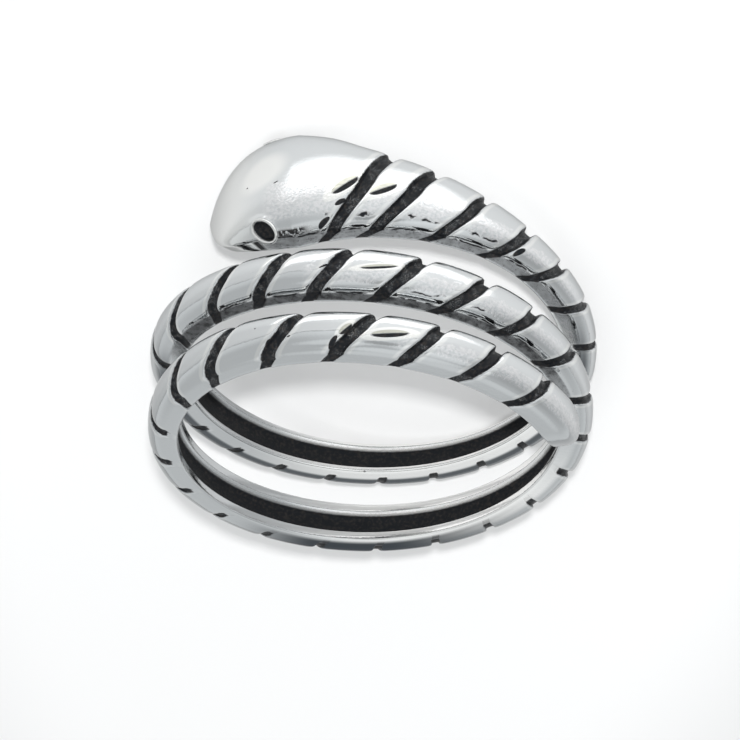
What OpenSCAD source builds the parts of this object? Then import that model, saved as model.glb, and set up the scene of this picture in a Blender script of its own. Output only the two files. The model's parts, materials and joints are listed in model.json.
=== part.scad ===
// Snake wrap ring, cast in one piece: a domed head with an eye on each side, a
// band that winds a little over two turns with slanting grooves cut across its
// back, and a rounded tail. The ring lies on its side and leans on the edge of
// its head, so the axis of the finger hole leans too.

/* [Finger hole] */
// Diameter of the finger hole
bore_d = 17.4; // [16.8:0.1:18]

/* [Head] */
// Width of the head where it is widest
head_w = 5.7; // [5:0.1:6]
// Thickness of the head where it is widest
head_t = 1.8; // [1.5:0.05:2.1]
// Thickness at the tip of the snout
snout_t = 0.6; // [0.4:0.05:0.9]
// Roundness of the snout seen from above, where 2 is an ellipse
snout_round = 2.1; // [1.8:0.05:2.6]

/* [Eyes] */
// Length of an eye socket
eye_length = 1.2; // [0.9:0.05:1.3]
// Height of an eye socket
eye_height = 0.8; // [0.6:0.05:0.9]
// How far the sockets slope down towards the neck
eye_slope = 36; // [0:4:40]
// Depth of an eye socket
eye_depth = 0.3; // [0.2:0.05:0.4]
// Width of the raised rim round an eye socket
rim_w = 0.14; // [0.1:0.02:0.2]
// How far the rim stands out of the head
rim_rise = 0.06; // [0.04:0.01:0.1]

/* [Band] */
// Share of the band's thickness that its flat side walls take
wall_share = 0.42; // [0.3:0.02:0.55]
// Fullness of the back, where 2 is an ellipse and more is squarer
back_round = 2.4; // [2:0.1:3]

/* [Grooves] */
// Width of each groove across its own run
groove_w = 0.5; // [0.42:0.04:0.54]
// Depth of each groove in the back
groove_depth = 0.36; // [0.2:0.02:0.45]
// Depth of each groove at the shoulders of the back
side_depth = 0.2; // [0.1:0.02:0.25]
// Depth of each groove at the edge of the finger hole
edge_depth = 0.08; // [0.04:0.01:0.12]

/* [Inner channel] */
// Share of the band's width that the channel takes on the first turn
first_share = 0.7; // [0.6:0.02:0.74]
// Share of the band's width that the channel takes on the second turn
second_share = 0.54; // [0.4:0.02:0.6]
// Depth of the channel
channel_depth = 0.4; // [0.2:0.05:0.6]

/* [Tail] */
// Length of the tail's rounded end, as an angle round the finger
tail_turn = 14; // [8:1:18]
// Thickness at the tip of the tail
tail_t = 0.75; // [0.5:0.05:1]
// Roundness of the tail's end seen from above
tail_round = 1.9; // [1.6:0.1:2.4]

/* [Hidden] */

bore_r = bore_d / 2;
// Metal left inside the finger hole for the hole's own cylinder to clear
hole_skin = 0.12;
// Angle round the finger from the snout to where the head is widest
head_turn = 34.5;
// Height of the snout's tip along the finger
snout_height = -5.2;

// The band, by the angle from the snout round the finger: the height of its
// middle along the finger, half its width, and its thickness
ANGLE = 0;
MIDDLE = 1;
HALF = 2;
THICK = 3;
BAND = [
    [head_turn, -4.74, head_w / 2, head_t],
    [44, -4.56, 2.58, 1.7],
    [54, -4.28, 2.2, 1.6],
    [74, -3.9, 1.67, 1.47],
    [94, -3.52, 1.22, 1.46],
    [114, -3.15, 0.93, 1.47],
    [149, -2.7, 0.8, 1.53],
    [194, -2.33, 0.72, 1.6],
    [254, -2.05, 0.84, 1.7],
    [314, -1.62, 1, 1.7],
    [344, -0.98, 1.02, 1.64],
    [374, -0.29, 1.08, 1.53],
    [404, 0.2, 1.15, 1.47],
    [434, 0.49, 1.14, 1.45],
    [464, 0.64, 1.02, 1.43],
    [494, 0.77, 0.92, 1.44],
    [554, 1.2, 0.95, 1.55],
    [614, 1.73, 1.04, 1.57],
    [674, 2.44, 1.06, 1.46],
    [734, 3.2, 1.07, 1.49],
    [774, 3.72, 1.06, 1.51],
    [814, 3.9, 1.03, 1.53],
    [853, 3.87, 1.03, 1.53],
];
tail_end = BAND[len(BAND) - 1][ANGLE];

// The grooves, by their number from the head: the angle where a groove leaves
// the inner edge nearer the tail, and how much further round it ends at the
// inner edge nearer the head
NUMBER = 0;
START = 1;
SLANT = 2;
GROOVES = [
    [0, 41.5, 22.5],
    [1, 52.8, 25],
    [2, 71, 20.3],
    [3, 89.2, 15.5],
    [4, 104.5, 14.5],
    [5, 120.9, 11.5],
    [6, 138, 8.5],
    [9, 188, 8],
    [16, 292, 14],
    [19, 345, 21],
    [20, 365, 17.5],
    [21, 381.6, 16.6],
    [22, 397.9, 17.4],
    [23, 416.4, 18.3],
    [24, 434.6, 18.2],
    [25, 454, 14.2],
    [27, 491.5, 12],
    [33, 593, 8],
    [39, 691.5, 12.5],
    [40, 710.6, 13.2],
    [41, 726.4, 16.8],
    [42, 746, 17.3],
    [43, 765.3, 17.6],
    [44, 784.5, 15.4],
    [45, 802.5, 13.4],
    [46, 821, 11],
];
groove_count = GROOVES[len(GROOVES) - 1][NUMBER] + 1;

// Smooth curve through one column of a table
function row(t, x, i = 0) = i >= len(t) - 2 || x < t[i + 1][0] ? i : row(t, x, i + 1);
function slope(t, c, i) =
    let (a = t[max(i - 1, 0)], b = t[min(i + 1, len(t) - 1)])
    (b[c] - a[c]) / (b[0] - a[0]);
function smooth(t, c, x) =
    let (i = row(t, x), a = t[i], b = t[i + 1], w = b[0] - a[0], s = (x - a[0]) / w)
    a[c] * (2 * s - 3) * s * s + a[c] + b[c] * (3 - 2 * s) * s * s
    + w * slope(t, c, i) * s * (1 - s) * (1 - s) - w * slope(t, c, i + 1) * s * s * (1 - s);

// Straight line through one column of the groove table
function groove(c, n) = lookup(n, [for (g = GROOVES) [g[NUMBER], g[c]]]);
function number_at(a) = lookup(a, [for (g = GROOVES) [g[START], g[NUMBER]]]);

// Quarter of a rounded outline: 0 at its tip, 1 where it is full
function bulge(s, p) = s >= 1 ? 1 : s <= 0 ? 0 : pow(1 - pow(1 - s, p), 1 / p);
function clamp(s) = max(0, min(1, s));
function ease(s) = clamp(s) * clamp(s) * (3 - 2 * clamp(s));

// Sizes of the body at an angle from the snout
function head_share(a) = clamp(a / head_turn);
function tail_share(a) = (tail_end - a) / tail_turn;
function middle(a) =
    a < head_turn ? snout_height + (BAND[0][MIDDLE] - snout_height) * pow(head_share(a), 1.5)
                  : smooth(BAND, MIDDLE, a);
function half(a) =
    a < head_turn ? head_w / 2 * bulge(head_share(a), snout_round)
                  : smooth(BAND, HALF, a) * bulge(tail_share(a), tail_round);
function thick(a) =
    a < head_turn ? snout_t + (head_t - snout_t) * sin(90 * head_share(a))
                  : tail_t + (smooth(BAND, THICK, a) - tail_t) * bulge(tail_share(a), 2);

// The slant of a section, which fades out to nothing at the snout and the tail
first_groove = groove(START, 0);
last_groove = groove(START, groove_count - 1);
function slant(a) =
    groove(SLANT, number_at(a)) * ease(a / first_groove)
    * ease((tail_end - a) / (tail_end - last_groove));

// Outline of a section over the back, from the shoulder nearer the tail to the
// other: across the band, out of the finger hole, and its share of the slant
ACROSS = 0;
OUT = 1;
LEAN = 2;
back_steps = 12;
near_lean = 0.17;
far_lean = 0.86;
lean_rise = 1.4;
BACK = [for (k = [0 : back_steps])
    let (turn = 180 * k / back_steps, x = cos(turn), across = sign(x) * pow(abs(x), 2 / back_round))
    [across,
     wall_share + (1 - wall_share) * pow(sin(turn), 2 / back_round),
     near_lean + (far_lean - near_lean) * sin(90 * pow(turn / 180, lean_rise))]];

// Outline of the channel in the inner face, from the far rim to the near one:
// share of the channel's width, and share of its depth
SHARE = 0;
DEPTH = 1;
floor_share = 0.66;
CHANNEL = [[-1, 0], [-floor_share, 1], [floor_share, 1], [1, 0]];
channel_start = 30;
channel_stop = 10;
channel_fade = 25;
second_start = 340;
second_fade = 120;
function channel_wide(a) =
    first_share + (second_share - first_share) * ease((a - second_start) / second_fade);
function channel_open(a) =
    ease((a - channel_start) / channel_fade) * ease((tail_end - channel_stop - a) / channel_fade);

// One section: over the back from inner edge to inner edge, then home along the channel
function section(a, cut) =
    let (lean = slant(a), wide = channel_wide(a))
    concat([edge(a, 1, cut)], [for (p = BACK) skin(a + lean * p[LEAN], p, cut)],
           [edge(a + lean, -1, cut)],
           [for (p = CHANNEL) let (across = wide * p[SHARE])
               channel(a + lean * (1 - across) / 2, across, p[DEPTH] * channel_open(a))]);
function spot(a, out, up) = [(bore_r + out) * cos(-a), (bore_r + out) * sin(-a), up];
function skin(a, p, cut) =
    spot(a, p[OUT] * (thick(a) - cut * groove_depth),
         middle(a) + p[ACROSS] * (half(a) - cut * side_depth));
function edge(a, side, cut) =
    spot(a, -hole_skin, middle(a) + side * (half(a) - cut * edge_depth));
function channel(a, across, deep) =
    spot(a, deep * (channel_depth + hole_skin) - hole_skin, middle(a) + across * half(a));

// Where the sections stand: [angle, 1 in a groove's floor or 0]
groove_lip = 0.06;
lip_turn = groove_lip / bore_r * 180 / PI;
function groove_turn(n) =
    let (a = groove(START, n), r = bore_r + thick(a),
         rise = groove(SLANT, n) * PI / 180 * r / (2 * half(a) + 2 * wall_share * thick(a)))
    groove_w * sqrt(1 + rise * rise) / r * 180 / PI;

// Stops packed towards a tip, as shares of the way from it
tip_sweep = 84;
function tip_share(k, n) = (1 - cos(tip_sweep * k / n)) / (1 - cos(tip_sweep));
head_steps = 13;
tail_steps = 9;
head_end = first_groove - groove_turn(0) / 2 - lip_turn;
HEAD_STOPS = [for (k = [1 : head_steps]) [head_end * tip_share(k, head_steps + 1), 0]];
BODY_STOPS = [for (n = [0 : groove_count - 1])
    let (a = groove(START, n), w = groove_turn(n) / 2, next = groove(START, n + 1),
         gap = next > a ? [[(a + next) / 2, 0]] : [])
    each concat([[a - w - lip_turn, 0], [a - w, 1], [a + w, 1], [a + w + lip_turn, 0]], gap)];
tail_start = BODY_STOPS[len(BODY_STOPS) - 1][0];
TAIL_STOPS = [for (k = [tail_steps : -1 : 1])
    [tail_end - (tail_end - tail_start) * tip_share(k, tail_steps + 1), 0]];
STOPS = concat(HEAD_STOPS, BODY_STOPS, TAIL_STOPS);

// Skin of the body: sections joined in turn, and a flat cap at each end
module body() {
    rings = [for (s = STOPS) section(s[0], s[1])];
    n = len(rings[0]);
    m = len(rings);
    polyhedron(
        points = [for (r = rings) each r],
        faces = concat(
            [for (i = [0 : m - 2], j = [0 : n - 1]) let (k = (j + 1) % n)
                each [[i * n + j, (i + 1) * n + k, (i + 1) * n + j],
                      [i * n + j, i * n + k, (i + 1) * n + k]]],
            [for (j = [2 : n - 1]) [1, j, (j + 1) % n]],
            [for (j = [2 : n - 1]) [(m - 1) * n + 1, (m - 1) * n + (j + 1) % n, (m - 1) * n + j]]));
}

// Where the eyes sit on the head, each on its own side: distance from the head's
// middle, distance out of the finger hole, and tilt of its face
OFFSET = 0;
RISE = 1;
TILT = 2;
EYES = [
    [2.52, 1.18, 44],
    [2.72, 0.88, 18],
];
eye_turn = 26.5;
eye_toe = 14;
eye_fn = 24;
eye_root = 0.5;
module at_eyes()
    for (side = [0, 1])
        rotate([0, 0, -eye_turn])
        translate([bore_r + EYES[side][RISE], 0, middle(eye_turn)])
        mirror([0, 0, side])
        translate([0, 0, EYES[side][OFFSET]])
        rotate([-eye_toe, EYES[side][TILT], 0])
        rotate(-eye_slope)
        children();
module oval(grow, low, high)
    translate([0, 0, low])
    linear_extrude(high - low)
    scale([eye_height / 2 + grow, eye_length / 2 + grow])
    circle(r = 1, $fn = eye_fn);

// The finger hole, filed true in arcs that each bear on the finger
hole_arcs = 6;
hole_lobe = 0.01;
hole_length = 40;
hole_fn = 180;
module finger_hole()
    for (k = [0 : hole_arcs - 1])
        rotate([0, 0, 360 * k / hole_arcs])
        translate([hole_lobe, 0, 0])
        cylinder(r = bore_r, h = hole_length, center = true, $fn = hole_fn);

// How the ring lies: the turn that brings its lowest edge down, and its seat
rest_turn = [-6.428, -13.355, -22.304];
rest_seat = [-0.1101, 0.2368, 5.3584];

module snake_ring() {
    color("silver")
    translate(rest_seat)
    rotate(rest_turn)
    difference() {
        union() {
            body();
            at_eyes() oval(rim_w, -eye_root, rim_rise);
        }
        at_eyes() oval(0, -eye_depth, eye_root);
        finger_hole();
    }
}

snake_ring();
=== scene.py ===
"""Snake wrap ring, dressed for its picture: the coiled body, its eyes, the metal and the studio."""

import json
import logging
import math
from dataclasses import dataclass, field
from enum import Enum
from typing import Any

import bpy
import numpy as np
from mathutils import Euler, Matrix, Vector

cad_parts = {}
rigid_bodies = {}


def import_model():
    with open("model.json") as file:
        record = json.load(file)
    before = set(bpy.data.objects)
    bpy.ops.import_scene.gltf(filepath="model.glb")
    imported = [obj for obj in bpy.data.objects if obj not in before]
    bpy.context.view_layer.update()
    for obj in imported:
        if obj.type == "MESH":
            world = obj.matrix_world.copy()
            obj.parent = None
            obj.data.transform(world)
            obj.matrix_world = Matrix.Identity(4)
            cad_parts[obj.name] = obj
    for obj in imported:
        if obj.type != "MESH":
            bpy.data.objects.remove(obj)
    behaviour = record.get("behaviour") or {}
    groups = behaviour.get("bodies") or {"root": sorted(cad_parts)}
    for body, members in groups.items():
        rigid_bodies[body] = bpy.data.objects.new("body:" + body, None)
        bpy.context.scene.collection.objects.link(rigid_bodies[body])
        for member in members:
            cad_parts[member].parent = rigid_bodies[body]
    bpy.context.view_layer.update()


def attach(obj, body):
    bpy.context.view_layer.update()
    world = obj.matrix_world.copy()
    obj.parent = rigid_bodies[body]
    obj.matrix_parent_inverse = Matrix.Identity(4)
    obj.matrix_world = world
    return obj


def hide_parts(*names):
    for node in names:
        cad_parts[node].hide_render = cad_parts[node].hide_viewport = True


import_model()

log = logging.getLogger("snake_ring")
MM = 0.001


class Side(Enum):
    """The head's two sides, by the way their eyes face along the finger."""

    NEAR = 1
    FAR = -1


class Value:
    """The output of a node, which takes Python's arithmetic."""

    def __init__(self, graph: "Graph", socket: bpy.types.NodeSocket) -> None:
        """Wraps a socket.

        Args:
            graph: the graph that new nodes are added to.
            socket: the output socket.
        """
        self.graph = graph
        self.socket = socket

    def _math(self, operation: str, first: Any, second: Any = None) -> "Value":
        """Adds a Math node.

        Args:
            operation: the node's operation.
            first: its first value or link.
            second: its second value or link, if it takes two.

        Returns:
            The node's output.
        """
        values = {0: first} if second is None else {0: first, 1: second}
        return self.graph.add("ShaderNodeMath", {"operation": operation}, values)

    def __add__(self, other: Any) -> "Value":
        """Sum."""
        return self._math("ADD", self, other)

    __radd__ = __add__

    def __mul__(self, other: Any) -> "Value":
        """Product."""
        return self._math("MULTIPLY", self, other)

    __rmul__ = __mul__

    def __sub__(self, other: Any) -> "Value":
        """Difference."""
        return self._math("SUBTRACT", self, other)

    def __rsub__(self, other: Any) -> "Value":
        """Difference, the other way round."""
        return self._math("SUBTRACT", other, self)

    def __truediv__(self, other: Any) -> "Value":
        """Quotient."""
        return self._math("DIVIDE", self, other)

    def __rtruediv__(self, other: Any) -> "Value":
        """Quotient, the other way round."""
        return self._math("DIVIDE", other, self)

    def most(self, other: Any) -> "Value":
        """The larger of two values."""
        return self._math("MAXIMUM", self, other)

    def least(self, other: Any) -> "Value":
        """The smaller of two values."""
        return self._math("MINIMUM", self, other)

    def floor(self) -> "Value":
        """The whole part."""
        return self._math("FLOOR", self)

    def cos(self) -> "Value":
        """Cosine."""
        return self._math("COSINE", self)

    def sin(self) -> "Value":
        """Sine."""
        return self._math("SINE", self)

    def root(self) -> "Value":
        """Square root."""
        return self._math("SQRT", self)

    def smooth(self, low: float, high: float) -> "Value":
        """Eases from 0 at low to 1 at high, which may be the smaller of the two."""
        values = {"Value": self, "From Min": low, "From Max": high}
        return self.graph.add("ShaderNodeMapRange", {"interpolation_type": "SMOOTHSTEP"}, values)

    def band(self, start: float, full: float, fade: float, end: float) -> "Value":
        """Eases from 0 at start to 1 at full, and from there at fade back to 0 at end."""
        return self.smooth(start, full) * self.smooth(end, fade)


class Graph:
    """A node tree under construction."""

    def __init__(self, tree: bpy.types.NodeTree) -> None:
        """Starts on a tree, with its old nodes removed."""
        self.tree = tree
        tree.nodes.clear()

    def add(
        self, kind: str, settings: dict | None = None, values: dict | None = None, out: Any = 0
    ) -> Value:
        """Adds a node.

        Args:
            kind: the node's type.
            settings: its own settings, which are set first.
            values: numbers or links for its input sockets, by name or place.
            out: the name or place of the output that is returned.

        Returns:
            The chosen output.
        """
        node = self.tree.nodes.new(kind)
        for name, setting in (settings or {}).items():
            setattr(node, name, setting)
        for name, value in (values or {}).items():
            if isinstance(value, Value):
                self.tree.links.new(value.socket, node.inputs[name])
            else:
                node.inputs[name].default_value = value
        return Value(self, node.outputs[out] if node.outputs else None)

    def outputs(self, kind: str, values: dict | None = None) -> list[Value]:
        """Adds a node with its plain settings, and gives all its outputs."""
        return [Value(self, socket) for socket in self.add(kind, None, values).socket.node.outputs]

    def split(self, vector: Value) -> list[Value]:
        """The three parts of a vector."""
        return self.outputs("ShaderNodeSeparateXYZ", {0: vector})

    def vector(self, x: Any, y: Any, z: Any) -> Value:
        """A vector from three parts."""
        return self.add("ShaderNodeCombineXYZ", None, {0: x, 1: y, 2: z})

    def vmath(self, operation: str, first: Any, second: Any = None, out: Any = 0) -> Value:
        """Adds a Vector Math node.

        Args:
            operation: the node's operation.
            first: its first vector.
            second: its second vector, if it takes two.
            out: the output that is returned.

        Returns:
            The chosen output.
        """
        values = {0: first} if second is None else {0: first, 1: second}
        return self.add("ShaderNodeVectorMath", {"operation": operation}, values, out)

    def dot(self, first: Value, second: Any) -> Value:
        """How far one vector goes along another."""
        return self.vmath("DOT_PRODUCT", first, second, "Value")

    def noise(self, place: Value, scale: float, detail: float, rough: float = 0.5) -> Value:
        """Noise about 0.5.

        Args:
            place: where it is read.
            scale: patches per unit of place.
            detail: how many finer layers it has.
            rough: how strong they are.

        Returns:
            The noise.
        """
        values = {"Vector": place, "Scale": scale, "Detail": detail, "Roughness": rough}
        return self.add("ShaderNodeTexNoise", {"noise_dimensions": "3D"}, values)

    def blend(self, share: Any, first: Any, second: Any) -> Value:
        """A colour between two others.

        Args:
            share: how much of the second colour there is.
            first: a colour or a link.
            second: a colour or a link.

        Returns:
            The mixed colour.
        """
        return self.add("ShaderNodeMix", {"data_type": "RGBA"}, {0: share, 6: first, 7: second}, 2)


def graph_of(holder: Any) -> Graph:
    """An empty graph in the own tree of a material or a world."""
    holder.use_nodes = True
    return Graph(holder.node_tree)


def put(name: str, data: Any) -> bpy.types.Object:
    """Makes an object and puts it in the scene.

    Args:
        name: the object's name.
        data: its mesh, lamp or camera.

    Returns:
        The object.
    """
    made = bpy.data.objects.new(name, data)
    bpy.context.scene.collection.objects.link(made)
    return made


# Sizes in millimetres, angles in degrees from the snout round the finger.

# The vectors that carry the section's outline into the node tree
OUTLINE_PARTS = ("place", "shift", "cut", "trough")
# The numbers that the mesh carries to the metal
MARKED = ("groove", "wall", "inside", "turn", "front", "across", "rise", "cut")
# The body tree's inputs, by the kind of their sockets
INPUTS = {
    "Geometry": ("Stops",),
    "Object": ("Sizes", "Outline"),
    "Int": ("Sections", "Points"),
    "Float": (
        "Step", "Bore Radius", "Groove Depth", "Shoulder Cut", "Channel Depth", "Wall Fade", "Hand Finish",
        "Eye Length", "Eye Height", "Eye Depth", "Seed",
    ),
    "Vector": (
        "Near Centre", "Near Up", "Near Along", "Near Out", "Far Centre", "Far Up", "Far Along", "Far Out",
        "Rest Seat",
    ),
    "Rotation": ("Rest Turn",),
    "Material": ("Material",),
}


@dataclass
class Body:
    """The ring's coiled body, from the snout to the tail."""

    bore_radius: float = 8.7
    head_width: float = 5.7
    head_thickness: float = 1.8
    snout_thickness: float = 0.6
    snout_round: float = 2.1
    snout_height: float = -5.2
    snout_sweep: float = 1.5
    head_turn: float = 34.5
    wall_share: float = 0.42
    back_round: float = 2.4
    near_lean: float = 0.17
    far_lean: float = 0.86
    lean_rise: float = 1.4
    groove_width: float = 0.5
    groove_depth: float = 0.36
    # Width of a groove that has no depth left, as a share
    groove_least: float = 0.65
    # How far a groove draws the shoulders and the inner edges in, and how much it fades at the back
    shoulder_cut: float = 0.2
    edge_cut: float = 0.08
    wall_fade: float = 0.95
    # Shares of the thickness between which a groove fades out on the walls at the back
    fade_span: tuple = (0.45, 0.3)
    # The inner channel's share of the width on the first turn and on the second, and its reach
    first_share: float = 0.7
    second_share: float = 0.54
    second_start: float = 340.0
    second_fade: float = 120.0
    channel_depth: float = 0.4
    channel_start: float = 30.0
    channel_stop: float = 10.0
    channel_fade: float = 25.0
    # Half width from which the inner edges and the channel have their full size
    full_half: float = 0.6
    tail_turn: float = 14.0
    tail_thickness: float = 0.75
    tail_round: float = 1.9
    edge_round: float = 0.1
    # How far the cast finish reaches down the inner edges and up over the shoulders
    edge_cast: float = 0.3
    shoulder_cast: float = 0.16
    # Unevenness of the hand finish: its depth, its patches per degree and per millimetre
    hand_finish: float = 0.05
    hand_turn: float = 0.11
    hand_scale: float = 0.55
    # Points nearer than this are one, as at the snout
    merge: float = 0.0005
    # Degrees between two steps of the sizes that the tree reads
    step: float = 0.5
    # How many sections and outline points there are, and how they are packed
    snout_turn: float = 20.5
    snout_rows: int = 24
    head_rows: int = 60
    pad_rows: int = 6
    tail_rows: int = 30
    back_points: int = 60
    back_pack: tuple = (0.085, 0.012)
    edge_turns: tuple = (0, 22.5, 45, 67.5, 90)
    wall_points: tuple = (0.35, 0.6, 0.85)
    # How the ring lies on the floor
    rest_turn: tuple[float, float, float] = (-6.428, -13.355, -22.304)
    rest_seat: tuple[float, float, float] = (-0.1101, 0.2368, 5.3584)
    seed: int = 7
    # Angle, middle height, half width, thickness
    band: tuple = (
        (34.5, -4.74, 2.85, 1.8),
        (44, -4.56, 2.58, 1.7),
        (54, -4.28, 2.2, 1.6),
        (74, -3.9, 1.67, 1.47),
        (94, -3.52, 1.22, 1.46),
        (114, -3.15, 0.93, 1.47),
        (149, -2.7, 0.8, 1.53),
        (194, -2.33, 0.72, 1.6),
        (254, -2.05, 0.84, 1.7),
        (314, -1.62, 1.0, 1.7),
        (344, -0.98, 1.02, 1.64),
        (374, -0.29, 1.08, 1.53),
        (404, 0.2, 1.15, 1.47),
        (434, 0.49, 1.14, 1.45),
        (464, 0.64, 1.02, 1.43),
        (494, 0.77, 0.92, 1.44),
        (554, 1.2, 0.95, 1.55),
        (614, 1.73, 1.04, 1.57),
        (674, 2.44, 1.06, 1.46),
        (734, 3.2, 1.07, 1.49),
        (774, 3.72, 1.06, 1.51),
        (814, 3.9, 1.03, 1.53),
        (853, 3.87, 1.03, 1.53),
    )
    # Angles between which the body is in front, each with its fade
    fronts: tuple = ((-10, 0, 112, 150), (328, 352, 468, 505), (690, 712, 870, 890))
    # Distance from a groove's middle in shares of its width, and depth
    profile: tuple = (
        (1.4, 0), (1.1, 0.01), (0.86, 0.03), (0.72, 0.06), (0.61, 0.13), (0.54, 0.26),
        (0.49, 0.52), (0.45, 0.82), (0.38, 0.96), (0.19, 1),
    )
    # Distance from the channel's middle in shares of its half width, and depth
    hollow: tuple = (
        (1.14, 0), (1.06, 0.02), (1.0, 0.08), (0.94, 0.2), (0.88, 0.36), (0.8, 0.58),
        (0.7, 0.8), (0.58, 0.93), (0.35, 1),
    )
    # Number, start at the near edge, slant, depth
    grooves: tuple = (
        (0, 41.5, 22.5, 1),
        (1, 52.8, 25, 1),
        (2, 71, 20.3, 1),
        (3, 89.2, 15.5, 0.95),
        (4, 104.5, 14.5, 0.85),
        (5, 120.9, 11.5, 0.7),
        (6, 138, 8.5, 0.55),
        (9, 188, 8, 0.4),
        (16, 292, 14, 0.4),
        (19, 345, 21, 0.65),
        (20, 365, 17.5, 0.85),
        (21, 381.6, 16.6, 1),
        (22, 397.9, 17.4, 1),
        (23, 416.4, 18.3, 1),
        (24, 434.6, 18.2, 1),
        (25, 454, 14.2, 0.95),
        (27, 491.5, 12, 0.65),
        (33, 593, 8, 0.4),
        (39, 691.5, 12.5, 0.6),
        (40, 710.6, 13.2, 0.75),
        (41, 726.4, 16.8, 0.9),
        (42, 746, 17.3, 1),
        (43, 765.3, 17.6, 1),
        (44, 784.5, 15.4, 1),
        (45, 802.5, 13.4, 0.95),
        (46, 821, 11, 0.9),
    )

    def __post_init__(self) -> None:
        """Reads the two tables into arrays."""
        self.rows = np.array(self.band, float)
        self.cuts = np.array(self.grooves, float)
        self.end = self.rows[-1, 0]
        self.count = int(self.cuts[-1, 0]) + 1

    @staticmethod
    def ease(share: Any) -> np.ndarray:
        """Eases a share from 0 to 1."""
        s = np.clip(share, 0, 1)
        return s * s * (3 - 2 * s)

    @staticmethod
    def bulge(share: Any, power: float) -> np.ndarray:
        """Quarter of a rounded outline: 0 at its tip, 1 where it is full."""
        s = np.clip(share, 0, 1)
        return (1 - (1 - s) ** power) ** (1 / power)

    def column(self, place: int, turn: Any) -> np.ndarray:
        """A smooth curve through one column of the band's table.

        Args:
            place: the column.
            turn: angles from the snout.

        Returns:
            The column's value at each angle.
        """
        t = self.rows
        i = np.clip(np.searchsorted(t[:, 0], turn, side="right") - 1, 0, len(t) - 2)
        before = np.maximum(np.arange(len(t)) - 1, 0)
        after = np.minimum(np.arange(len(t)) + 1, len(t) - 1)
        tilt = (t[after, place] - t[before, place]) / (t[after, 0] - t[before, 0])
        wide = t[i + 1, 0] - t[i, 0]
        s = (turn - t[i, 0]) / wide
        rise = (3 - 2 * s) * s * s
        ends = t[i, place] * (1 - rise) + t[i + 1, place] * rise
        return ends + wide * (tilt[i] * s * (1 - s) ** 2 - tilt[i + 1] * s * s * (1 - s))

    def middle(self, turn: Any) -> np.ndarray:
        """Height of the body's middle along the finger.

        Args:
            turn: angles from the snout.

        Returns:
            The height at each angle.
        """
        rise = np.clip(turn / self.head_turn, 0, 1) ** self.snout_sweep
        head = self.snout_height + (self.rows[0, 1] - self.snout_height) * rise
        return np.where(turn < self.head_turn, head, self.column(1, turn))

    def half(self, turn: Any) -> np.ndarray:
        """Half of the body's width.

        Args:
            turn: angles from the snout.

        Returns:
            The half width at each angle.
        """
        head = self.head_width / 2 * self.bulge(turn / self.head_turn, self.snout_round)
        tail = self.bulge((self.end - turn) / self.tail_turn, self.tail_round)
        return np.where(turn < self.head_turn, head, self.column(2, turn) * tail)

    def thick(self, turn: Any) -> np.ndarray:
        """The body's thickness.

        Args:
            turn: angles from the snout.

        Returns:
            The thickness at each angle.
        """
        rise = np.sin(math.pi / 2 * np.clip(turn / self.head_turn, 0, 1))
        head = self.snout_thickness + (self.head_thickness - self.snout_thickness) * rise
        fall = self.bulge((self.end - turn) / self.tail_turn, 2)
        tail = self.tail_thickness + (self.column(3, turn) - self.tail_thickness) * fall
        return np.where(turn < self.head_turn, head, tail)

    def slant(self, turn: Any) -> np.ndarray:
        """How far a section leans round the finger, fading out at the snout and the tail."""
        lean = np.interp(turn, self.cuts[:, 1], self.cuts[:, 2]) * self.ease(turn / self.cuts[0, 1])
        return lean * self.ease((self.end - turn) / (self.end - self.cuts[-1, 1]))

    def open(self, turn: Any) -> np.ndarray:
        """How far the inner channel is open."""
        front = self.ease((turn - self.channel_start) / self.channel_fade)
        return front * self.ease((self.end - self.channel_stop - turn) / self.channel_fade)

    def wide(self, turn: Any) -> np.ndarray:
        """The share of the body's width that the channel takes."""
        part = self.ease((turn - self.second_start) / self.second_fade)
        return self.first_share + (self.second_share - self.first_share) * part

    def front(self, turn: float) -> float:
        """How much a section is in front, where the grooves run down the walls."""
        return sum(
            self.ease((turn - a) / (b - a)) * self.ease((d - turn) / (d - c)) for a, b, c, d in self.fronts
        )

    def stops(self) -> np.ndarray:
        """Where the sections stand.

        Returns:
            One row for each section: its angle, how deep it is in a groove, and how much it is in front.
        """
        n = np.arange(self.count)
        starts, lean, weight = (np.interp(n, self.cuts[:, 0], self.cuts[:, k]) for k in (1, 2, 3))
        radius = self.bore_radius + self.thick(starts)
        girth = 2 * self.half(starts) + 2 * self.wall_share * self.thick(starts)
        rise = np.radians(lean) * radius / girth
        share = self.groove_least + (1 - self.groove_least) * weight
        scale = np.degrees(np.sqrt(1 + rise**2) / radius) * self.groove_width * share
        steps = [(-d, c) for d, c in self.profile] + [(d, c) for d, c in reversed(self.profile)]
        first = starts[0] + steps[0][0] * scale[0]
        # The head's sections, packed at the snout
        head = 1 - np.cos(np.linspace(0, math.pi / 3, self.snout_rows))
        rows = [(a, 0.0) for a in head / head[-1] * self.snout_turn]
        rows += [(a, 0.0) for a in np.linspace(self.snout_turn, first, self.head_rows)[1:-1]]
        for i in range(self.count):
            rows += [(starts[i] + d * scale[i], c * weight[i]) for d, c in steps]
            if i + 1 < self.count:
                low = starts[i] + steps[-1][0] * scale[i]
                high = starts[i + 1] + steps[0][0] * scale[i + 1]
                rows += [(x, 0.0) for x in np.linspace(low, high, self.pad_rows)[1:-1]]
        last = rows[-1][0]
        tail = np.sin(np.linspace(0, math.pi / 2, self.tail_rows)[1:])
        rows += [(last + (self.end - last) * s, 0.0) for s in tail]
        return np.array([(a, c, self.front(a)) for a, c in rows])

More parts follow.
